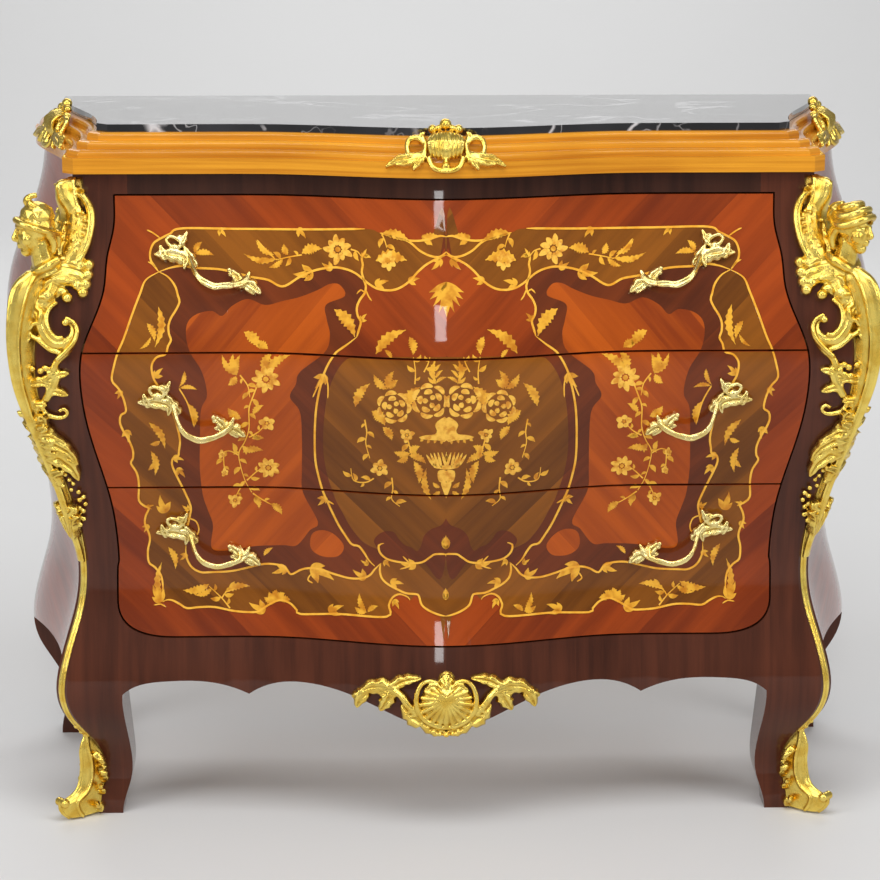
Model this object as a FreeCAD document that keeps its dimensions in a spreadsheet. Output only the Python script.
import FreeCAD, Part
import math
import os
import re
from types import SimpleNamespace

from FreeCAD import Matrix, Placement, Rotation, Vector

# A bombe chest of three drawers with gilt mounts and a framed marble top, in millimetres.
# The origin is on the floor under the middle of the chest, +Z is up and the front faces -Y.
# Front and sides share one swelling profile: it moves the front forward and the sides outward
# by the same amount at each height, so the two meet on a 45 degree corner.

SIZES = (
    # Form of the carcass
    ("corner_half_width", 497, "half width over the front posts at the top of the carcass"),
    ("corner_depth", 376, "depth from a front post to the back at the top of the carcass"),
    ("carcass_height", 904, "floor to the underside of the top"),
    ("belly_swell", 63, "how far the belly stands proud of the top of the carcass"),
    ("belly_height", 665, "height of the belly"),
    ("waist_swell", 8, "how far the waist stands proud"),
    ("waist_height", 348, "height of the waist"),
    ("knee_swell", 40, "how far the knee stands proud"),
    ("knee_height", 185, "height of the knee"),
    ("ankle_draw", 7, "how far the ankle is drawn in"),
    ("ankle_height", 65, "height of the ankle"),
    ("foot_swell", 3, "how far the foot stands proud"),
    ("bow_depth", 52, "how far the middle of the front bows forward"),
    ("bow_half_width", 270, "half width of the bow"),
    ("side_flare", 78, "how much wider each side is at the back"),
    ("flare_start", 40, "where the flare starts, behind the front posts"),
    ("corner_cant", 16, "leg of the canted corner"),
    ("cut_overrun", 30, "how far cutting shapes run past what they cut"),
    ("seat_sink", 4, "how far mounts start inside the wood before they are trimmed to it"),
    # Posts and legs
    ("post_width", 74, "front post, across"),
    ("post_depth", 65, "front post, front to back"),
    ("knee_width", 92, "front leg at the knee"),
    ("ankle_width", 52, "front leg at the ankle"),
    ("foot_width", 48, "front leg at the floor"),
    ("rear_post_width", 60, "rear post, across"),
    ("rear_post_depth", 50, "rear post, front to back"),
    ("rear_ankle_width", 44, "rear leg at the ankle"),
    ("rear_foot_width", 42, "rear leg at the floor"),
    # Drawer opening
    ("frieze_height", 28, "frieze rail above the drawers"),
    ("top_drawer_height", 204, "top drawer, from line to line"),
    ("middle_drawer_height", 193, "middle drawer, from line to line"),
    ("bottom_drawer_height", 215, "bottom drawer, from line to line"),
    ("stile_width", 55, "edge of the opening at its top, in from the corner"),
    ("edge_swing", 46, "how far the edge of the opening swings out at the belly"),
    ("sill_round_width", 78, "rounded lower corner, across"),
    ("sill_round_height", 50, "rounded lower corner, up"),
    ("drawer_gap", 2.4, "gap round each drawer front"),
    ("front_thickness", 24, "thickness of the drawer fronts, front to back"),
    ("rail_thickness", 24, "thickness of frieze rail and apron, front to back"),
    # Apron, sides and back
    ("apron_drop", 114, "sill down to the lowest point of the apron"),
    ("side_thickness", 18, "thickness of the side panels"),
    ("side_apron_gap", 59, "top of the arch under a side panel, below the drawers"),
    ("side_apron_drop", 24, "how far that arch falls to the legs"),
    ("back_thickness", 8, "thickness of the back panel"),
    ("back_rebate", 5, "how far the back panel lies inside the rear posts"),
    ("back_gap", 42, "lower edge of the back panel, below the drawers"),
    # Boards inside the carcass
    ("board_thickness", 12, "dust boards and bottom board"),
    ("board_rise", 8, "top of a board above the line of the drawers"),
    ("board_setback", 3, "front edge of a board behind the drawer fronts"),
    ("bearer_width", 26, "bearer under a board, across at its front end"),
    ("bearer_height", 16, "bearer under a board"),
    ("guide_width", 18, "drawer guide, across"),
    ("guide_height", 16, "drawer guide, up"),
    ("guide_gap", 0.6, "drawer guide to drawer side"),
    ("stop_inset", 112, "middle of a drawer stop, in from the edge of the opening"),
    ("stop_length", 44, "drawer stop, across"),
    ("stop_depth", 14, "drawer stop, front to back"),
    ("stop_height", 6, "drawer stop, up"),
    ("stop_gap", 0.3, "drawer stop to drawer front"),
    ("kicker_width", 34, "kicker above the top drawer, across"),
    ("kicker_gap", 2, "kicker to drawer side"),
    ("screw_inset", 142, "screw of the back panel, in from the edge of the opening"),
    ("screw_radius", 1.75, "shank of a back panel screw"),
    ("screw_head_radius", 3.8, "head of a back panel screw"),
    ("screw_head_height", 2.4, "head of a back panel screw"),
    ("screw_bite", 18, "how far a screw goes into the board"),
    # Drawer boxes
    ("box_clear", 20, "drawer box inside the opening, each side"),
    ("box_side_thickness", 12, "drawer sides"),
    ("box_back_thickness", 12, "drawer backs"),
    ("box_bottom_thickness", 6, "drawer bottoms"),
    ("box_bottom_rise", 9, "drawer bottom above the edge that runs on the board"),
    ("groove_depth", 6, "groove for the drawer bottom"),
    ("running_gap", 0.3, "drawer side above the board it runs on"),
    ("box_headroom", 15, "drawer side below what is above it"),
    ("back_headroom", 8, "drawer back below the drawer sides"),
    ("box_back_gap", 10, "drawer box to the back panel"),
    # Top
    ("top_overhang", 12, "moulding beyond the carcass"),
    ("moulding_height", 51, "height of the moulding"),
    ("fascia_height", 21, "plain band at the foot of the moulding"),
    ("moulding_setback", 36, "how far the moulding steps back to its top"),
    ("marble_setback", 42, "edge of the marble inside the moulding"),
    ("marble_gap", 0.6, "marble to moulding"),
    ("marble_thickness", 20, "marble slab"),
    ("marble_proud", 10, "marble above the moulding"),
    # Pulls
    ("top_pull_inset", 127, "middle of a pull of the top drawer, in from the edge of the opening"),
    ("top_pull_lift", 113, "middle of a pull of the top drawer, above the line under it"),
    ("middle_pull_inset", 103, "middle of a pull of the middle drawer, in from the edge of the opening"),
    ("middle_pull_lift", 115, "middle of a pull of the middle drawer, above the line under it"),
    ("bottom_pull_inset", 119, "middle of a pull of the bottom drawer, in from the edge of the opening"),
    ("bottom_pull_lift", 138, "middle of a pull of the bottom drawer, above the line under it"),
    ("pull_half_span", 45, "half the distance between the fixings of a pull, across"),
    ("pull_rise", 21, "outer fixing above the middle of a pull"),
    ("pull_stand", 27, "middle of the grip off the drawer front"),
    ("pull_sag", 36, "lowest part of the grip below the middle of a pull"),
    ("grip_radius", 4.6, "grip of a pull"),
    ("boss_radius", 9, "boss at each fixing"),
    ("boss_height", 13, "boss at each fixing"),
    ("outer_leaf_length", 54, "leaf at the outer end of a pull"),
    ("outer_leaf_width", 38, "leaf at the outer end of a pull"),
    ("inner_leaf_length", 46, "leaf at the inner end of a pull"),
    ("inner_leaf_width", 26, "leaf at the inner end of a pull"),
    ("leaf_relief", 10, "leaves of a pull, off the drawer front"),
    ("bolt_radius", 2.5, "bolt of a pull"),
    ("bolt_play", 0.2, "hole round a bolt"),
    ("bolt_bite", 8, "bolt inside its boss"),
    ("nut_radius", 6, "round nut of a bolt"),
    ("nut_height", 4, "round nut of a bolt"),
    # Gilt mounts
    ("trim_width", 13, "gilt strip on the corner"),
    ("trim_relief", 6, "gilt strip off the corner"),
    ("trim_overlap", 7, "gilt strip under the leaves above it and the shoe below it"),
    ("shoe_height", 118, "cast shoe of a front foot"),
    ("shoe_width", 46, "cast shoe, across the corner"),
    ("shoe_wrap", 24, "cast shoe, back round the corner"),
    ("shoe_toe", 52, "toe of the shoe, out from the corner"),
    ("figure_head_drop", 11, "top of the figure's headdress below the top of the carcass"),
    ("figure_shoulder_drop", 140, "shoulders of the figure below the top of the carcass"),
    ("figure_foot_drop", 500, "lowest tip of the leaves under the figure below the top of the carcass"),
    ("spine_head_drop", 3, "top of the scroll behind the head below the top of the carcass"),
    ("figure_half_width", 31, "half width of the figure across the corner"),
    ("figure_relief", 31, "chest of the figure off the corner"),
    ("head_stand", 56, "middle of the head off the corner"),
    ("head_half_depth", 31, "head, front to back"),
    ("head_half_width", 25, "head, across"),
    ("scroll_span", 48, "side scroll, in from the corner"),
    ("scroll_head_drop", 150, "top of the side scroll below the top of the carcass"),
    ("scroll_foot_drop", 326, "bottom of the side scroll below the top of the carcass"),
    ("scroll_relief", 11, "side scroll off the wood"),
    ("apron_mount_half_width", 128, "shell mount of the apron"),
    ("apron_mount_hang", 4, "shell mount below the lowest point of the apron"),
    ("apron_mount_height", 93, "shell mount, bottom to top"),
    ("apron_mount_relief", 13, "shell mount off the apron"),
    ("shell_radius", 43, "shell in the middle of that mount"),
    ("shell_relief", 24, "shell off the apron"),
    ("crest_half_width", 75, "cartouche on the top moulding"),
    ("crest_foot", 11, "foot of a cartouche above the underside of the top"),
    ("crest_height", 68, "cartouche, bottom to top"),
    ("crest_thickness", 18, "cartouche, front to back"),
    ("crest_relief", 9, "cartouche off the moulding at its foot"),
    ("crest_lean", 40, "how far a cartouche leans back"),
)

# Sizes worked out from the cells, written as the same kind of expression
DERIVED = {
    "back_plane": "(corner_depth + belly_swell + bow_depth) / 2",
    "front_plane": "back_plane - corner_depth",
    "back_face": "back_plane - back_rebate - back_thickness",
    "post_back": "front_plane + post_depth",
    "rear_post_front": "back_plane - rear_post_depth",
    "box_half": "opening_half_width - box_clear",
    "box_inner": "box_half - box_side_thickness",
    "box_back": "back_face - box_back_gap",
    "reach": "corner_half_width + corner_half_width + corner_depth",
    "marble_foot": "carcass_height + moulding_height + marble_proud - marble_thickness",
    "top_half_width": "corner_half_width + top_overhang",
    "top_front": "front_plane - top_overhang",
    "head_height": "carcass_height - frieze_height",
    "upper_line": "head_height - top_drawer_height",
    "lower_line": "upper_line - middle_drawer_height",
    "sill_height": "lower_line - bottom_drawer_height",
    "opening_half_width": "corner_half_width - stile_width",
    "side_apron_height": "sill_height - side_apron_gap",
    "back_foot": "sill_height - back_gap",
    "stop_place": "opening_half_width - stop_inset",
    "screw_place": "opening_half_width - screw_inset",
    "top_pull_place": "opening_half_width - top_pull_inset",
    "top_pull_height": "upper_line + top_pull_lift",
    "middle_pull_place": "opening_half_width - middle_pull_inset",
    "middle_pull_height": "lower_line + middle_pull_lift",
    "bottom_pull_place": "opening_half_width - bottom_pull_inset",
    "bottom_pull_height": "sill_height + bottom_pull_lift",
    "figure_head": "carcass_height - figure_head_drop",
    "figure_shoulder": "carcass_height - figure_shoulder_drop",
    "figure_foot": "carcass_height - figure_foot_drop",
    "spine_head": "carcass_height - spine_head_drop",
    "scroll_head": "carcass_height - scroll_head_drop",
    "scroll_foot": "carcass_height - scroll_foot_drop",
    "trim_head": "figure_foot + trim_overlap",
    "trim_foot": "shoe_height - trim_overlap",
    "apron_mount_foot": "sill_height - apron_drop - apron_mount_hang",
}

# Edge of the drawer opening: share of the height above its rounded corner, share of edge_swing
EDGE_SHARES = ((1, 0), (0.92, 0.02), (0.855, 0.2), (0.79, 0.27), (0.71, 0.6), (0.635, 0.94),
               (0.565, 1), (0.45, 0.84), (0.3, 0.4), (0.2, 0.2), (0.1, 0.14), (0, 0.2))
# Lower edge of the apron from a leg to a cusp and from there to the middle: share of the
# half width of the opening, share of apron_drop below the sill
APRON_OUTER_SHARES = ((1.03, 0.8), (0.97, 0.58), (0.87, 0.51), (0.72, 0.53), (0.612, 0.67))
APRON_INNER_SHARES = ((0.612, 0.67), (0.53, 0.53), (0.42, 0.51), (0.32, 0.58), (0.2, 0.76), (0.08, 0.96),
                      (0, 1))
# Steps of the top moulding: share of moulding_setback at each step, and its rounded share
STEP_SHARES = (0.16, 0.5, 0.86)
STEP_ROUND_SHARE = 0.62
# Half outlines as shares of half width and height: shell mount and cartouche, from top to bottom
APRON_MOUNT_SHARES = ((0, 1), (0.12, 0.97), (0.2, 0.85), (0.33, 0.8), (0.5, 0.9), (0.7, 0.94), (0.9, 0.84),
                      (1, 0.68), (0.92, 0.6), (0.76, 0.68), (0.62, 0.66), (0.5, 0.48), (0.36, 0.24),
                      (0.2, 0.06), (0, 0))
CREST_SHARES = ((0, 1), (0.16, 0.96), (0.34, 0.82), (0.46, 0.62), (0.56, 0.42), (0.76, 0.32), (1, 0.2),
                (0.9, 0.08), (0.68, 0.08), (0.48, 0.14), (0.3, 0.06), (0, 0))
# Scroll beside the figure: share of scroll_span in from the corner, share of its height
SCROLL_SHARES = ((0, 0.9), (0.3, 0.99), (0.9, 1), (1, 0.93), (0.6, 0.9), (0.42, 0.78), (0.6, 0.66),
                 (0.84, 0.7), (1, 0.6), (0.8, 0.5), (0.62, 0.42), (0.7, 0.34), (0.46, 0.26), (0.6, 0.16),
                 (0.4, 0.05), (0.1, 0), (0, 0.06))
# Figure and leaves as rings on the corner: height share from foot to head, out share of
# figure_relief, across share of figure_half_width, thickness share of figure_relief
SPINE_SHARES = ((0, 0, 0.16, 0.2), (0.09, 0, 0.45, 0.27), (0.19, 0, 0.7, 0.34), (0.28, 0, 0.76, 0.4),
                (0.37, 0, 0.56, 0.46), (0.47, 0, 0.64, 0.66), (0.58, 0, 0.78, 0.9), (0.67, 0, 0.92, 1),
                (0.73, 0, 1, 0.8), (0.8, 0, 0.94, 0.52), (0.9, 0, 1, 0.6), (0.96, 0, 0.76, 0.5),
                (1, 0, 0.3, 0.26))
# Bust: height share from shoulder to headdress, out share of head_stand, across share of
# head_half_width, thickness share of head_half_depth
BUST_SHARES = ((0, 0.14, 1.1, 0.62), (0.16, 0.36, 0.66, 0.46), (0.27, 0.56, 0.54, 0.42),
               (0.37, 0.8, 0.62, 0.6), (0.49, 0.96, 0.9, 0.9), (0.64, 1, 1, 1), (0.8, 0.98, 0.9, 0.92),
               (0.93, 0.95, 0.56, 0.58), (1, 0.94, 0.16, 0.18))
# Outer side of a shoe: height share, out share of shoe_toe
SHOE_SHARES = ((0, 0.56), (0.07, 0.96), (0.2, 1), (0.32, 0.72), (0.42, 0.36), (0.6, 0.2), (0.8, 0.17),
               (1, 0.08))
# Grip of a pull between its two fixings: share of the half span, of the sag and of the stand
GRIP_SHARES = ((1, -0.58, 0.36), (0.82, 0.16, 0.92), (0.3, 0.88, 1.08), (-0.4, 1, 0.96), (-1, 0.58, 0.36))
# Leaf of a pull: outline as shares of half length and half width, and its rims from inside the
# front outward as share of leaf_relief and share of the outline
LEAF_SHARES = ((1, 0), (0.74, 0.6), (0.1, 1), (-0.62, 0.74), (-1, 0), (-0.62, -0.74), (0.1, -1),
               (0.74, -0.6))
LEAF_RIM_SHARES = ((-0.4, 1), (0.25, 1), (0.7, 0.82), (1, 0.4))
QUARTER_TURN = 90
# Places along a profile curve between two of its turns
STEPS_PER_TURN = 4
STEPS_PER_PLAN = 12
STEPS_PER_ROUND = 3

doc = FreeCAD.newDocument("BombeChest")
sheet = doc.addObject("Spreadsheet::Sheet", "Sizes")
for row, (alias, number, meaning) in enumerate(SIZES, start=1):
    sheet.set(f"A{row}", meaning)
    sheet.set(f"B{row}", str(number))
    sheet.setAlias(f"B{row}", alias)
doc.recompute()

sub_parts = []


def formula(text):
    """Spell out the derived sizes and the sheet's cells in an expression."""
    def spell(match):
        word = match.group()
        if word in DERIVED:
            return f"({formula(DERIVED[word])})"
        return f"Sizes.{word}"
    return re.sub(r"[a-z_]+", spell, text)


def value(text):
    """Work out an expression on the sheet's cells."""
    return float(sheet.evalExpression(formula(text)))


size = SimpleNamespace(**{alias: value(alias) for alias in [row[0] for row in SIZES] + list(DERIVED)})

UP = Vector(0, 0, 1)
CORNER_OUT = Vector(1, -1, 0).normalize()
CORNER_ALONG = Vector(1, 1, 0).normalize()


# Profile and plan curves

def along(stops, place):
    """Follow half cosine waves through (place, value) stops, level beyond both ends."""
    if place <= stops[0][0]:
        return stops[0][1]
    for (low, low_value), (high, high_value) in zip(stops, stops[1:]):
        if place <= high:
            share = (1 - math.cos(math.pi * (place - low) / (high - low))) / 2
            return low_value + (high_value - low_value) * share
    return stops[-1][1]


SWELL_STOPS = ((0, size.foot_swell), (size.ankle_height, -size.ankle_draw),
               (size.knee_height, size.knee_swell), (size.waist_height, size.waist_swell),
               (size.belly_height, size.belly_swell), (size.carcass_height, 0))


def swell(height):
    """How far front and sides stand proud of the top of the carcass at a height."""
    return along(SWELL_STOPS, height)


def swell_slope(height):
    """Slope of the swelling profile at a height."""
    span = size.cut_overrun / STEPS_PER_PLAN
    return (swell(height + span) - swell(height - span)) / (span + span)


def bow(place):
    """How far the front bows forward at a distance from the middle."""
    return along(((0, size.bow_depth), (size.bow_half_width, 0)), abs(place))


FLARE_FRONT = size.front_plane + size.flare_start


def flare(place):
    """How much a side has widened at a distance front to back."""
    return along(((FLARE_FRONT, 0), (size.back_plane, size.side_flare)), place)


def divide(low, high, count):
    """Evenly spaced places from low to high, both ends included."""
    return [low + (high - low) * step / count for step in range(count + 1)]


def turn_heights(low, high):
    """Heights from low to high that include the turns of the swelling profile."""
    turns = [low] + [stop[0] for stop in SWELL_STOPS if low < stop[0] < high] + [high]
    heights = [low]
    for start, end in zip(turns, turns[1:]):
        heights += divide(start, end, STEPS_PER_TURN)[1:]
    return heights


def spline(points, closed=False):
    """Smooth curve through points."""
    curve = Part.BSplineCurve()
    curve.interpolate(points, PeriodicFlag=closed)
    return curve


def line(start, end):
    """Straight edge between two points."""
    return Part.LineSegment(start, end).toShape()


def chain(points):
    """Straight edges from point to point."""
    return [line(start, end) for start, end in zip(points, points[1:])]


def slide_face(across, upright):
    """Face swept by one curve as it slides along another without turning."""
    poles = [[place + rise for rise in upright.getPoles()] for place in across.getPoles()]
    surface = Part.BSplineSurface()
    surface.buildFromPolesMultsKnots(poles, across.getMultiplicities(), upright.getMultiplicities(),
                                     across.getKnots(), upright.getKnots(), False, False,
                                     across.Degree, upright.Degree)
    return surface.toShape()


def prism(edges, direction):
    """Solid swept by the flat face inside a closed chain of edges, both ways along a direction."""
    face = Part.Face(Part.Wire(edges))
    face.translate(direction * -size.reach)
    return face.extrude(direction * (size.reach + size.reach))


def block(low, high):
    """Box between two corners."""
    span = high - low
    return Part.makeBox(span.x, span.y, span.z, low)


def mirrored(shape):
    """The same shape on the other side of the chest."""
    return shape.mirror(Vector(), Vector(1, 0, 0))


def flipped(point):
    """The same point on the other side of the chest."""
    return Vector(-point.x, point.y, point.z)


def largest(shape):
    """The largest solid of a trimmed shape."""
    return max(shape.Solids, key=lambda solid: solid.Volume)


# Outer surfaces

HEIGHTS = turn_heights(-size.cut_overrun, size.carcass_height + size.cut_overrun)
HALF_FACE = size.corner_half_width + size.belly_swell + size.cut_overrun
FLARE_PLACES = (divide(size.front_plane - size.belly_swell - size.cut_overrun, FLARE_FRONT, STEPS_PER_TURN)
                + divide(FLARE_FRONT, size.back_plane, STEPS_PER_PLAN)[1:]
                + [size.back_plane + size.cut_overrun])


def bow_places(half):
    """Places across the front, close enough together to keep its outer ends straight."""
    outer = divide(size.bow_half_width, half, STEPS_PER_TURN)[1:]
    inner = divide(-size.bow_half_width, size.bow_half_width, STEPS_PER_PLAN)
    return [-place for place in reversed(outer)] + inner + outer


front_face = slide_face(spline([Vector(x, size.front_plane - bow(x), 0) for x in bow_places(HALF_FACE)]),
                        spline([Vector(0, -swell(z), z) for z in HEIGHTS]))
side_face = slide_face(spline([Vector(size.corner_half_width + flare(y), y, 0) for y in FLARE_PLACES]),
                       spline([Vector(swell(z), 0, z) for z in HEIGHTS]))


def corner(height, out=0, across=0):
    """Point off the middle of the right canted corner."""
    inset = swell(height) - size.corner_cant / 2
    middle = Vector(size.corner_half_width + inset, size.front_plane - inset, height)
    return middle + CORNER_OUT * out + CORNER_ALONG * across


def front_layer(near, far):
    """Layer that follows the front, between two distances behind it."""
    return front_face.translated(Vector(0, near, 0)).extrude(Vector(0, far - near, 0))


def side_layer(near, far):
    """Layer that follows the right side, between two distances inside it."""
    return side_face.translated(Vector(-near, 0, 0)).extrude(Vector(near - far, 0, 0))


corner_line = spline([corner(z, 0, -size.reach) for z in HEIGHTS]).toShape()
behind_cant = corner_line.extrude(CORNER_ALONG * (size.reach + size.reach)).extrude(CORNER_OUT * -size.reach)
behind_front = front_layer(0, size.reach)
behind_side = side_layer(0, size.reach)
inside_right = side_layer(size.side_thickness, size.reach)
drawer_front_block = front_layer(-size.reach, size.front_thickness)


# Posts and legs

FRONT_LEG = ((0, size.foot_width), (size.ankle_height, size.ankle_width), (size.knee_height, size.knee_width))
REAR_LEG = ((0, size.rear_foot_width), (size.ankle_height, size.rear_ankle_width),
            (size.knee_height, size.rear_post_width))
REAR_LEG_DEPTH = REAR_LEG[:2] + ((size.knee_height, size.rear_post_depth),)


def front_inner(height):
    """How far a front post reaches in from the corner of the carcass top, across and back."""
    knee = size.knee_width - size.knee_swell
    if height <= size.knee_height:
        inset = along(FRONT_LEG, height) - swell(height)
        return inset, inset
    return (along(((size.knee_height, knee), (size.sill_height, size.post_width)), height),
            along(((size.knee_height, knee), (size.sill_height, size.post_depth)), height))


def rear_inner(height):
    """Inner face of the right rear post at a height."""
    return size.corner_half_width + size.side_flare + swell(height) - along(REAR_LEG, height)


POST_HEIGHTS = turn_heights(0, size.sill_height)


def bounded(points, top, far):
    """Closed chain: a curve through points, then straight up to a top, squared off to a far line."""
    first, last = points[0], points[-1]
    head = Vector(last.x, last.y, top)
    corners = [last, head, Vector(far.x or last.x, far.y or last.y, top),
               Vector(far.x or first.x, far.y or first.y, first.z), first]
    return [spline(points).toShape()] + chain(corners)


def front_post_cell():
    """Space that a right front post takes up, before its outer faces are cut."""
    inner = [Vector(size.corner_half_width - front_inner(z)[0], 0, z) for z in POST_HEIGHTS]
    back = [Vector(0, size.front_plane + front_inner(z)[1], z) for z in POST_HEIGHTS]
    return (prism(bounded(inner, size.carcass_height, Vector(size.reach, 0, 0)), Vector(0, 1, 0))
            .common(prism(bounded(back, size.carcass_height, Vector(0, -size.reach, 0)), Vector(1, 0, 0))))


def opening_edge(inset):
    """Right edge of the drawer opening, drawn in by an inset, from top to sill."""
    round_top = size.sill_height + size.sill_round_height
    points = [Vector(size.opening_half_width + size.edge_swing * swing - inset, 0,
                     round_top + (size.head_height - round_top) * rise) for rise, swing in EDGE_SHARES]
    points[0].z -= inset
    edge = Part.BSplineCurve()
    edge.interpolate(points, InitialTangent=-UP, FinalTangent=-UP)
    low = points[-1]
    floor = size.sill_height + inset
    rounded = Part.BezierCurve()
    rounded.setPoles([low, Vector(low.x, 0, floor), Vector(low.x - size.sill_round_width, 0, floor)])
    return edge.toShape(), rounded.toShape()


def opening_prism(inset):
    """Solid through the drawer opening, drawn in by an inset."""
    edge, rounded = opening_edge(inset)
    top = edge.Vertexes[0].Point
    low = rounded.Vertexes[-1].Point
    level = [line(top, flipped(top)), line(low, flipped(low))]
    edges = [edge, rounded, mirrored(edge), mirrored(rounded)] + level
    return prism(Part.__sortEdges__(edges), Vector(0, 1, 0))


opening = opening_prism(0)


def front_post():
    """Right front post with its cabriole leg."""
    cell = front_post_cell()
    return largest(cell.common(behind_front).common(behind_side).common(behind_cant).cut(opening))


def rear_post():
    """Right rear post with its leg."""
    heights = turn_heights(0, size.carcass_height)
    inner = [Vector(rear_inner(z), 0, z) for z in heights]
    edges = [spline(inner).toShape()] + chain([inner[-1], Vector(size.reach, 0, size.carcass_height),
                                               Vector(size.reach, 0, 0), inner[0]])
    leg_heights = turn_heights(0, size.knee_height)
    front = [Vector(0, size.back_plane - along(REAR_LEG_DEPTH, z), z) for z in leg_heights]
    profile = bounded(front, size.carcass_height, Vector(0, size.back_plane, 0))
    cell = prism(edges, Vector(0, 1, 0)).common(prism(profile, Vector(1, 0, 0)))
    return largest(cell.common(behind_side))


# Rails, panels and boards

def frieze_rail(posts):
    """Rail between the front posts, above the drawers."""
    cell = block(Vector(-size.corner_half_width, -size.reach, size.head_height),
                 Vector(size.corner_half_width, size.reach, size.carcass_height))
    return largest(front_layer(0, size.rail_thickness).common(cell).cut(posts))


def front_apron(posts):
    """Scalloped rail between the front posts, under the drawers."""
    def edge(shares):
        return spline([Vector(size.opening_half_width * across, 0, size.sill_height - size.apron_drop * drop)
                       for across, drop in shares]).toShape()
    right = [edge(APRON_OUTER_SHARES), edge(APRON_INNER_SHARES)]
    start = right[0].Vertexes[0].Point
    head = Vector(start.x, start.y, size.sill_height + size.sill_round_height)
    left = [mirrored(part) for part in right]
    sides = chain([start, head, flipped(head), flipped(start)])
    cell = prism(Part.__sortEdges__(right + left + sides), Vector(0, 1, 0))
    return largest(front_layer(0, size.rail_thickness).common(cell).cut(opening).cut(posts))


def side_panel(posts):
    """Right side panel between the posts, arched at its foot."""
    start = size.front_plane + size.post_depth / 2
    end = size.back_plane - size.rear_post_depth / 2
    low = size.side_apron_height - size.side_apron_drop
    arch = Part.Arc(Vector(0, start, low), Vector(0, (start + end) / 2, size.side_apron_height),
                    Vector(0, end, low)).toShape()
    frame = chain([Vector(0, end, low), Vector(0, end, size.carcass_height),
                   Vector(0, start, size.carcass_height), Vector(0, start, low)])
    cell = prism([arch] + frame, Vector(1, 0, 0))
    return largest(side_layer(0, size.side_thickness).common(cell).cut(posts))


BOARD_TOPS = {"upper_dust_board": size.upper_line + size.board_rise,
              "lower_dust_board": size.lower_line + size.board_rise,
              "bottom_board": size.sill_height + size.board_rise}
SIDES = (-1, 1)


def screw_entries():
    """Where the back panel screws enter the panel."""
    depth = size.back_plane - size.back_rebate
    return [Vector(side * size.screw_place, depth, top - size.board_thickness / 2)
            for top in BOARD_TOPS.values() for side in SIDES]


def screw_shanks():
    """Shanks of all back panel screws, which also cut their holes."""
    length = size.back_thickness + size.screw_bite
    inward = Vector(0, -1, 0)
    return [Part.makeCylinder(size.screw_radius, length, entry, inward) for entry in screw_entries()]


def back_panel():
    """Back panel between the rear posts."""
    half_post = size.rear_post_width / 2
    right = spline([Vector(rear_inner(z) + half_post, 0, z)
                    for z in turn_heights(size.back_foot, size.carcass_height)]).toShape()
    low, high = [end.Point for end in right.Vertexes]
    edges = [right, mirrored(right), line(low, flipped(low)), line(high, flipped(high))]
    layer = block(Vector(-size.reach, size.back_face, 0),
                  Vector(size.reach, size.back_plane - size.back_rebate, size.carcass_height))
    panel = prism(Part.__sortEdges__(edges), Vector(0, 1, 0)).common(layer)
    return largest(panel.cut(posts).cut(screw_shanks()))


def fitted_board(top):
    """Board between posts, side panels and back panel."""
    board = block(Vector(-size.reach, -size.reach, top - size.board_thickness),
                  Vector(size.reach, size.back_face, top))
    board = board.common(inside_right).common(mirrored(inside_right))
    setback = front_layer(-size.reach, size.front_thickness + size.board_setback)
    return largest(board.cut(setback).cut(posts).cut(screw_shanks()))


def fitted_bearer(top):
    """Right bearer under a board, against the side panel."""
    foot = top - size.board_thickness - size.bearer_height
    inner = size.corner_half_width - size.side_thickness + size.waist_swell - size.bearer_width
    bar = block(Vector(inner, size.post_back, foot),
                Vector(size.reach, size.rear_post_front, top - size.board_thickness))
    return largest(bar.common(inside_right).cut(posts))


def drawer_stop(side, top):
    """Stop on a board, just behind a drawer front."""
    middle = side * size.stop_place
    near = size.front_thickness + size.stop_gap
    bar = block(Vector(middle - size.stop_length / 2, -size.reach, top),
                Vector(middle + size.stop_length / 2, size.reach, top + size.stop_height))
    return largest(bar.common(front_layer(near, near + size.stop_depth)))


# Top

def top_outline(setback, back):
    """Closed edges of the top in plan, stepped in by a setback, down to a back line."""
    front = size.top_front + setback
    half = size.top_half_width - setback
    start = Vector(half - size.corner_cant, front, 0)
    turn = Vector(half, front + size.corner_cant, 0)
    bowed = [Vector(x, front - bow(x), 0) for x in bow_places(start.x)]
    places = divide(FLARE_FRONT, size.back_plane, STEPS_PER_PLAN)
    flared = [turn] + [Vector(half + flare(y), y, 0) for y in places if y > turn.y]
    if back > size.back_plane:
        flared.append(Vector(half + flare(back), back, 0))
    right = spline(flared).toShape()
    end = flared[-1]
    cant = line(start, turn)
    edges = [spline(bowed).toShape(), cant, right, mirrored(cant), mirrored(right),
             line(end, flipped(end))]
    return Part.Wire(Part.__sortEdges__(edges))


def top_layer(setback, low, high, back=size.back_plane):
    """Slab of the top's outline between two heights."""
    face = Part.Face(top_outline(setback, back))
    face.translate(UP * low)
    return face.extrude(UP * (high - low))


PAST_BACK = size.back_plane + size.cut_overrun


def rounded_step(setback, foot, rise):
    """Slab of the top's outline with a rounded upper rim, running past the back."""
    radius = rise * STEP_ROUND_SHARE
    straight = foot + rise - radius
    rims = []
    for share in divide(0, 1, STEPS_PER_ROUND):
        turn = share * math.pi / 2
        rim = top_outline(setback + radius * (1 - math.cos(turn)), PAST_BACK)
        rims.append(rim.translated(UP * (straight + radius * math.sin(turn))))
    return top_layer(setback, foot, straight, PAST_BACK).fuse(Part.makeLoft(rims, True))


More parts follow.
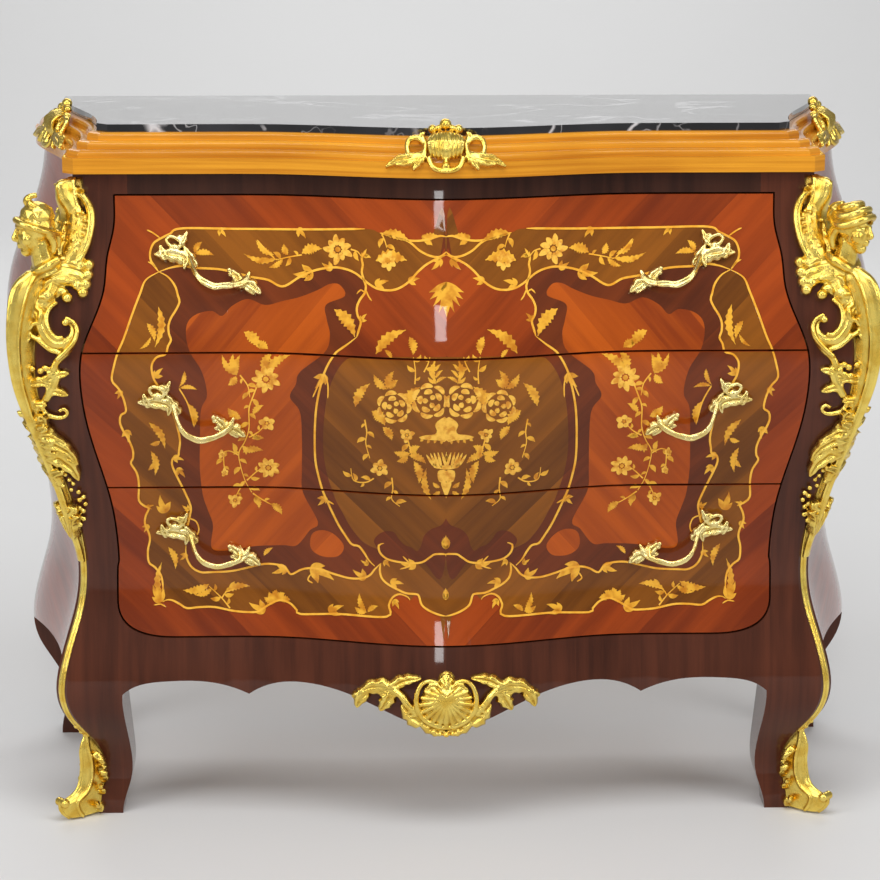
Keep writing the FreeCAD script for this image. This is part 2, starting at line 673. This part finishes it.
def moulding_stack():
    """The stepped moulding as one solid slab, squared off at the back."""
    low = size.carcass_height
    stack = top_layer(0, low, low + size.fascia_height, PAST_BACK)
    rise = (size.moulding_height - size.fascia_height) / len(STEP_SHARES)
    for step, share in enumerate(STEP_SHARES):
        step_low = low + size.fascia_height + rise * step
        stack = stack.fuse(rounded_step(size.moulding_setback * share, step_low, rise))
    before_back = block(Vector(-size.reach, -size.reach, 0), Vector(size.reach, size.back_plane, size.reach))
    return stack.common(before_back)


def marble_pocket():
    """Space inside the moulding, open at the back."""
    overrun = size.cut_overrun
    low = size.carcass_height - overrun
    return top_layer(size.marble_setback, low, low + size.moulding_height + overrun + overrun, PAST_BACK)


def mitre_wedge():
    """Everything right of the mitre at the right front corner of the top."""
    point = Vector(size.top_half_width, size.top_front, size.carcass_height)
    span = size.reach
    corners = [point + Vector(span, -span, 0), point + Vector(-span, span, 0), point + Vector(span, span, 0)]
    return prism(chain(corners + corners[:1]), UP)


# Gilt mounts

def trimmed(shape, *wood):
    """A mount cut to the wood that it sits on."""
    for piece in wood:
        shape = shape.cut(piece)
    return largest(shape)


def face_between(inner, outer):
    """Face between two curves, closed at their ends by straight lines."""
    ends = [line(inner[-1], outer[-1]), line(outer[0], inner[0])]
    return Part.Face(Part.Wire([spline(inner).toShape(), ends[0], spline(outer).toShape(), ends[1]]))


def corner_trim():
    """Strip on the right canted corner, from the figure's leaves to the shoe."""
    heights = turn_heights(size.trim_foot, size.trim_head)
    inner = [corner(z, -size.seat_sink) for z in heights]
    outer = [corner(z, size.trim_relief) for z in heights]
    face = face_between(inner, outer)
    face.translate(CORNER_ALONG * (-size.trim_width / 2))
    return trimmed(face.extrude(CORNER_ALONG * size.trim_width), right_post)


def front_shoe(trim):
    """Cast shoe on the right front foot, with a curled toe."""
    outer = [corner(rise * size.shoe_height, out * size.shoe_toe) for rise, out in SHOE_SHARES]
    inner = [corner(z, -size.shoe_wrap) for z in turn_heights(0, size.shoe_height)]
    face = face_between(inner, outer)
    face.translate(CORNER_ALONG * (-size.shoe_width / 2))
    return trimmed(face.extrude(CORNER_ALONG * size.shoe_width), right_post, trim)


def ring(middle, across, out):
    """Flat oval round a point of the corner, across and out from it."""
    oval = Part.Wire(Part.Circle(Vector(), UP, 1).toShape())
    turn = Matrix(CORNER_ALONG.x * across, CORNER_OUT.x * out, 0, middle.x,
                  CORNER_ALONG.y * across, CORNER_OUT.y * out, 0, middle.y,
                  0, 0, 1, middle.z,
                  0, 0, 0, 1)
    return Part.Wire(oval.transformGeometry(turn).Edges)


def oval_loft(shares, low, high, stand, half_width, half_depth):
    """Solid through ovals that ride on the corner between two heights."""
    rings = []
    for rise, out, across, thick in shares:
        height = low + (high - low) * rise
        rings.append(ring(corner(height, out * stand), across * half_width, thick * half_depth))
    return Part.makeLoft(rings, True)


def side_scroll():
    """Scroll beside the figure on the front of the right post."""
    edge = size.corner_half_width - size.corner_cant
    height = size.scroll_head - size.scroll_foot
    points = []
    for inward, rise in SCROLL_SHARES:
        z = size.scroll_foot + height * rise
        points.append(Vector(edge + swell(z) - inward * size.scroll_span, 0, z))
    cell = prism([spline(points, True).toShape()], Vector(0, 1, 0))
    return largest(front_layer(-size.scroll_relief, size.seat_sink).common(cell))


def corner_figure():
    """Figure, scrolls and leaves on the right front corner, one casting."""
    spine = oval_loft(SPINE_SHARES, size.figure_foot, size.spine_head, 0,
                      size.figure_half_width, size.figure_relief)
    bust = oval_loft(BUST_SHARES, size.figure_shoulder, size.figure_head, size.head_stand,
                     size.head_half_width, size.head_half_depth)
    scroll = side_scroll()
    turned = scroll.mirror(corner(0), CORNER_ALONG)
    return trimmed(spine.fuse(bust).fuse([scroll, turned]), right_post, right_panel)


def plaque(shares, half_width, foot, height):
    """Solid through a symmetrical outline on the middle of the front."""
    right = [Vector(across * half_width, 0, foot + rise * height) for across, rise in shares]
    half = spline(right).toShape()
    return prism(Part.__sortEdges__([half, mirrored(half)]), Vector(0, 1, 0))


def apron_mount(apron):
    """Shell with leafy arms in the middle of the apron."""
    cell = plaque(APRON_MOUNT_SHARES, size.apron_mount_half_width, size.apron_mount_foot,
                  size.apron_mount_height)
    arms = largest(front_layer(-size.apron_mount_relief, size.seat_sink).common(cell))
    height = size.apron_mount_foot + size.shell_radius
    face = Vector(0, size.front_plane - size.bow_depth - swell(height), height)
    flattened = Matrix(size.shell_radius, 0, 0, face.x, 0, size.shell_relief, 0, face.y,
                       0, 0, size.shell_radius, face.z, 0, 0, 0, 1)
    shell = Part.makeSphere(1).transformGeometry(flattened)
    behind = front_layer(size.seat_sink, size.reach)
    return trimmed(arms.fuse(shell).cut(behind), apron)


def crest():
    """Leaning cartouche that stands on the middle of the front moulding."""
    low = size.carcass_height + size.crest_foot
    cell = plaque(CREST_SHARES, size.crest_half_width, low, size.crest_height)
    near = size.top_front - size.bow_depth - size.crest_relief
    far = near + size.crest_lean
    high = low + size.crest_height
    lean = [Vector(0, near, low), Vector(0, far, high), Vector(0, far + size.crest_thickness, high),
            Vector(0, near + size.crest_thickness, low)]
    return cell.common(prism(chain(lean + lean[:1]), Vector(1, 0, 0)))


def side_crest():
    """The same cartouche turned to the middle of the right side moulding."""
    place = (FLARE_FRONT + size.back_plane) / 2
    span = size.cut_overrun
    slope = math.degrees(math.atan2(flare(place + span) - flare(place - span), span + span))
    turned = crest().translated(Vector(0, size.bow_depth - size.top_front, 0))
    turned.rotate(Vector(), UP, QUARTER_TURN - slope)
    turned.translate(Vector(size.top_half_width + flare(place), place, 0))
    return turned


# Drawer fronts and pulls

DRAWERS = {
    "top": SimpleNamespace(low="upper_line", high="head_height", board="upper_line", above="head_height",
                           place=size.top_pull_place, height=size.top_pull_height),
    "middle": SimpleNamespace(low="lower_line", high="upper_line", board="lower_line",
                              above="upper_line + board_rise - board_thickness",
                              place=size.middle_pull_place, height=size.middle_pull_height),
    "bottom": SimpleNamespace(low="sill_height", high="lower_line", board="sill_height",
                              above="lower_line + board_rise - board_thickness",
                              place=size.bottom_pull_place, height=size.bottom_pull_height),
}


def placed(shape, drawer):
    """A shape in a right pull's own axes (outward along the front, into it, up), set on its drawer."""
    tilt = math.atan(swell_slope(drawer.height))
    face = Vector(drawer.place, size.front_plane - bow(drawer.place) - swell(drawer.height), drawer.height)
    item = shape.copy()
    item.Placement = Placement(face, Rotation(Vector(1, 0, 0), math.degrees(tilt))).multiply(item.Placement)
    return item


def pull_fixings():
    """Outer and inner fixing of a right pull, in its own axes."""
    outer = Vector(size.pull_half_span, 0, size.pull_rise)
    return outer, outer * -1


def rod(radius, fixing, depth, stand):
    """Round rod through a fixing, from a depth inside the front to a stand off it."""
    return Part.makeCylinder(radius, depth + stand, fixing + Vector(0, depth, 0), Vector(0, -1, 0))


def bolt_holes(drawer):
    """Holes for the bolts of a right pull."""
    depth = size.front_thickness + size.cut_overrun
    return [placed(rod(size.bolt_radius + size.bolt_play, fixing, depth, size.cut_overrun), drawer)
            for fixing in pull_fixings()]


def drawer_front(name):
    """Swelling front of a drawer with the bolt holes of its pulls."""
    drawer = DRAWERS[name]
    half_gap = size.drawer_gap / 2
    span = block(Vector(-size.reach, -size.reach, value(drawer.low) + half_gap),
                 Vector(size.reach, size.reach, value(drawer.high) - half_gap))
    front = front_layer(0, size.front_thickness).common(opening_prism(size.drawer_gap)).common(span)
    for hole in bolt_holes(drawer):
        front = front.cut(hole).cut(mirrored(hole))
    return largest(front)


PULL_SLANT = Vector(size.pull_half_span, 0, size.pull_rise).normalize()


def leaf(middle, length, width):
    """Raised leaf of a pull, rounded off towards the hand."""
    cross = Vector(-PULL_SLANT.z, 0, PULL_SLANT.x)
    rims = []
    for off, share in LEAF_RIM_SHARES:
        seat = middle - Vector(0, off * size.leaf_relief, 0)
        points = [seat + PULL_SLANT * (lengthways * share * length / 2) + cross * (across * share * width / 2)
                  for lengthways, across in LEAF_SHARES]
        rims.append(Part.Wire(spline(points, True).toShape()))
    return Part.makeLoft(rims, True)


def pull(drawer):
    """Right pull of a drawer: two leaves, two bosses and the grip between them."""
    outer, inner = pull_fixings()
    outer_leaf = leaf(outer + PULL_SLANT * size.boss_radius, size.outer_leaf_length, size.outer_leaf_width)
    inner_leaf = leaf(inner - PULL_SLANT * size.boss_radius, size.inner_leaf_length, size.inner_leaf_width)
    bosses = [rod(size.boss_radius, fixing, size.seat_sink, size.boss_height) for fixing in (outer, inner)]
    path = spline([Vector(across * size.pull_half_span, -stand * size.pull_stand, -sag * size.pull_sag)
                   for across, sag, stand in GRIP_SHARES])
    start = path.FirstParameter
    section = Part.Wire(Part.Circle(path.value(start), path.tangent(start)[0], size.grip_radius).toShape())
    grip = Part.Wire(path.toShape()).makePipeShell([section], True, True)
    holes = [placed(rod(size.bolt_radius, fixing, size.cut_overrun, size.bolt_bite), drawer)
             for fixing in (outer, inner)]
    solid = placed(grip.fuse([outer_leaf, inner_leaf] + bosses), drawer)
    return trimmed(solid, front_layer(0, size.front_thickness + size.cut_overrun), *holes)


def bolts(drawer):
    """Bolts with round nuts for both pulls of a drawer."""
    depth = size.front_thickness * math.cos(math.atan(swell_slope(drawer.height)))
    end = depth + size.nut_height
    solids = []
    for fixing in pull_fixings():
        shank = placed(rod(size.bolt_radius, fixing, end, size.bolt_bite), drawer)
        nut = placed(rod(size.nut_radius, fixing, end, size.seat_sink - depth), drawer)
        bolt = largest(shank.fuse(nut.cut(drawer_front_block)))
        solids += [bolt, mirrored(bolt)]
    return Part.makeCompound(solids)


# Document objects

def feature(label, shape):
    """Add a sub-part whose shape was worked out from the sheet."""
    item = doc.addObject("Part::Feature", label)
    item.Label = label
    item.Shape = shape
    item.Placement = Placement()
    return item


def keep(item):
    """Mark a document object as a sub-part of the chest."""
    sub_parts.append(item)
    return item


def box(label, across, depth, upright):
    """Add a box whose ends are expressions: (low, high) across, front to back and up."""
    item = doc.addObject("Part::Box", label)
    item.Label = label
    ends = {"Length": across, "Width": depth, "Height": upright}
    for axis, (prop, (low, high)) in zip("xyz", ends.items()):
        item.setExpression(prop, formula(f"({high}) - ({low})"))
        item.setExpression(f"Placement.Base.{axis}", formula(low))
    return item


def cut(label, base, tool):
    """Add the cut of one document object by another."""
    item = doc.addObject("Part::Cut", label)
    item.Label = label
    item.Base = base
    item.Tool = tool
    return item


def group(label, items):
    """Add a group of separate solids that share a node."""
    item = doc.addObject("Part::Compound", label)
    item.Label = label
    item.Links = items
    return keep(item)


def mirror_pair(label, shape):
    """Add the right piece and its mirror image on the left."""
    keep(feature(f"right_{label}", shape))
    keep(feature(f"left_{label}", mirrored(shape)))


right_post = front_post()
right_rear_post = rear_post()
posts = Part.makeCompound([right_post, mirrored(right_post), right_rear_post, mirrored(right_rear_post)])
right_panel = side_panel(posts)
mirror_pair("front_post", right_post)
mirror_pair("rear_post", right_rear_post)
mirror_pair("side_panel", right_panel)
keep(feature("frieze_rail", frieze_rail(posts)))
apron_shape = front_apron(posts)
keep(feature("front_apron", apron_shape))
keep(feature("back_panel", back_panel()))

bearers = []
guides = []
stops = []
for board_name, board_top in BOARD_TOPS.items():
    keep(feature(board_name, fitted_board(board_top)))
    right_bearer = fitted_bearer(board_top)
    bearers += [right_bearer, mirrored(right_bearer)]
    stops += [drawer_stop(side, board_top) for side in SIDES]
keep(feature("board_bearers", Part.makeCompound(bearers)))
keep(feature("drawer_stops", Part.makeCompound(stops)))


def both_sides(inner, width):
    """Ends across of a right and a left strip, from an inner face and a width."""
    return {"right": (inner, f"{inner} + {width}"), "left": (f"-({inner} + {width})", f"-({inner})")}


STRIP_DEPTH = ("post_back", "rear_post_front")
for drawer_name, drawer in DRAWERS.items():
    for side_name, ends in both_sides("box_half + guide_gap", "guide_width").items():
        rise = (f"{drawer.board} + board_rise", f"{drawer.board} + board_rise + guide_height")
        guides.append(box(f"{drawer_name}_guide_{side_name}", ends, STRIP_DEPTH, rise))
group("drawer_guides", guides)
KICKER_RISE = ("head_height - box_headroom + kicker_gap", "carcass_height")
group("kickers", [box(f"kicker_{side_name}", ends, STRIP_DEPTH, KICKER_RISE)
                  for side_name, ends in both_sides("box_half - kicker_width / 2", "kicker_width").items()])

screw_solids = []
for shank, entry in zip(screw_shanks(), screw_entries()):
    head = Part.makeCylinder(size.screw_head_radius, size.screw_head_height, entry, Vector(0, 1, 0))
    screw_solids.append(shank.fuse(head))
keep(feature("back_panel_screws", Part.makeCompound(screw_solids)))

whole_moulding = moulding_stack().cut(marble_pocket())
wedge = mitre_wedge()
right_moulding = largest(whole_moulding.common(wedge))
front_moulding = largest(whole_moulding.cut(wedge).cut(mirrored(wedge)))
keep(feature("front_moulding", front_moulding))
mirror_pair("moulding", right_moulding)
bed = size.marble_setback + size.marble_gap
keep(feature("top_board", top_layer(bed, size.carcass_height, size.marble_foot)))
keep(feature("marble_top", top_layer(bed, size.marble_foot, size.marble_foot + size.marble_thickness)))

right_trim = corner_trim()
mirror_pair("corner_figure", corner_figure().cut(right_trim))
mirror_pair("corner_strip", right_trim)
mirror_pair("front_shoe", front_shoe(right_trim))
keep(feature("apron_shell_mount", apron_mount(apron_shape)))
keep(feature("front_cartouche", trimmed(crest(), front_moulding)))
mirror_pair("side_cartouche", trimmed(side_crest(), right_moulding))

front_block = feature("space_before_drawer_boxes", drawer_front_block)
for drawer_name, drawer in DRAWERS.items():
    keep(feature(f"{drawer_name}_drawer_front", drawer_front(drawer_name)))
    foot = f"{drawer.board} + board_rise + running_gap"
    head = f"{drawer.above} - box_headroom"
    bottom_rise = (f"{foot} + box_bottom_rise", f"{foot} + box_bottom_rise + box_bottom_thickness")
    depth = ("-reach", "box_back")
    for side_name, ends in both_sides("box_inner", "box_side_thickness").items():
        label = f"{drawer_name}_drawer_{side_name}_side"
        blank = box(f"{label}_blank", ends, depth, (foot, head))
        groove_ends = both_sides("box_inner", "groove_depth")[side_name]
        groove = box(f"{label}_groove", groove_ends, depth, bottom_rise)
        grooved = cut(f"{label}_grooved", blank, groove)
        keep(cut(label, grooved, front_block))
    keep(box(f"{drawer_name}_drawer_back", ("-box_inner", "box_inner"),
             ("box_back - box_back_thickness", "box_back"), (bottom_rise[1], f"{head} - back_headroom")))
    grooves = ("-(box_inner + groove_depth)", "box_inner + groove_depth")
    bottom = box(f"{drawer_name}_drawer_bottom_blank", grooves, depth, bottom_rise)
    keep(cut(f"{drawer_name}_drawer_bottom", bottom, front_block))
    pull_shape = pull(drawer)
    keep(feature(f"{drawer_name}_drawer_right_pull", pull_shape))
    keep(feature(f"{drawer_name}_drawer_left_pull", mirrored(pull_shape)))
    keep(feature(f"{drawer_name}_drawer_bolts", bolts(drawer)))

doc.recompute()

for item in doc.Objects:
    if "Invalid" in item.State or "Error" in item.State:
        raise RuntimeError(f"{item.Label} did not compute: {item.State}")
for item in sub_parts:
    if item.Shape.isNull() or not item.Shape.isValid():
        raise RuntimeError(f"{item.Label} has no valid shape")

os.makedirs("parts", exist_ok=True)
for item in sub_parts:
    item.Shape.exportStep(f"parts/{item.Label}.step")
print(f"{len(sub_parts)} sub-parts written")
